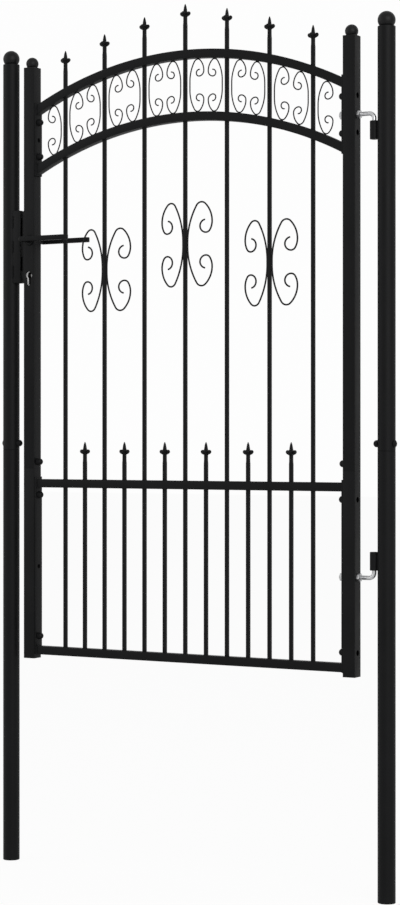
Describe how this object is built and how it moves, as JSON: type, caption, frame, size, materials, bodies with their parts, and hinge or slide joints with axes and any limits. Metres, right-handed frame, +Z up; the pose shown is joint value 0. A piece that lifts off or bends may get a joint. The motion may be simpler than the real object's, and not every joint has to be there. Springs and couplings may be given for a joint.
{
  "type": "steel garden gate",
  "caption": "Single-leaf steel garden gate with an arched top, spear-tipped bars, scrolls and a lever lock, hung between two round posts.",
  "frame": {"origin": "centre of the underside of the hinge post's foot", "axes": "+Z up; the closed leaf reaches from the hinge post towards -X; +Y is the far side, towards which the leaf opens"},
  "size_m": [1.059, 0.104, 2.04],
  "materials": {
    "black_steel": "satin black powder coat",
    "zinc_plated_steel": "bright zinc plating",
    "black_plastic": "black moulded plastic"
  },
  "bodies": {
    "posts": {"hinge_post_lower": "black_steel", "hinge_post_upper": "black_steel", "latch_post_lower": "black_steel", "latch_post_upper": "black_steel", "post_caps": "black_plastic", "post_foot_plugs": "black_plastic", "post_bolts": "black_steel", "upper_hinge_barrel": "black_steel", "lower_hinge_barrel": "black_steel", "strike_box": "black_steel"},
    "leaf": {"hinge_stile_lower": "black_steel", "hinge_stile_upper": "black_steel", "latch_stile_lower": "black_steel", "latch_stile_upper": "black_steel", "stile_caps": "black_plastic", "stile_foot_plugs": "black_plastic", "bottom_rail": "black_steel", "mid_rail": "black_steel", "upper_arch_rail": "black_steel", "lower_arch_rail": "black_steel", "hinge_lower_flange": "black_steel", "latch_lower_flange": "black_steel", "hinge_arch_flange": "black_steel", "latch_arch_flange": "black_steel", "long_bars": "black_steel", "lower_bars": "black_steel", "short_bars": "black_steel", "butterfly_1": "black_steel", "butterfly_2": "black_steel", "butterfly_3": "black_steel", "latch_side_scrolls": "black_steel", "middle_scrolls": "black_steel", "hinge_side_scrolls": "black_steel", "frame_bolts": "black_steel", "upper_hinge_bolt": "zinc_plated_steel", "lower_hinge_bolt": "zinc_plated_steel", "hinge_nuts": "zinc_plated_steel", "lock_case": "zinc_plated_steel", "lock_faceplate": "black_steel", "lever_roses": "black_steel"},
    "handle": {"lever_spindle": "zinc_plated_steel", "front_lever": "black_steel", "rear_lever": "black_steel"},
    "latch": {"latch_bolt": "zinc_plated_steel"}
  },
  "joints": [
    {"name": "leaf_hinge", "type": "hinge", "parent": "posts", "child": "leaf", "pos_m": [-0.03, 0, 1.233], "axis": [0, 0, -1], "range_deg": [0, 100]},
    {"name": "lever_turn", "type": "hinge", "parent": "leaf", "child": "handle", "pos_m": [-0.948, 0, 1.508], "axis": [0, 1, 0], "range_deg": [0, 45], "stiffness_Nm_per_rad": 1, "springref_deg": -20.05},
    {"name": "latch_slide", "type": "slide", "parent": "leaf", "child": "latch", "axis": [1, 0, 0], "range_m": [0, 0.014]}
  ],
  "couplings": [
    {"joint": "latch_slide", "follows": "lever_turn", "m_per_rad": 0.01782}
  ]
}
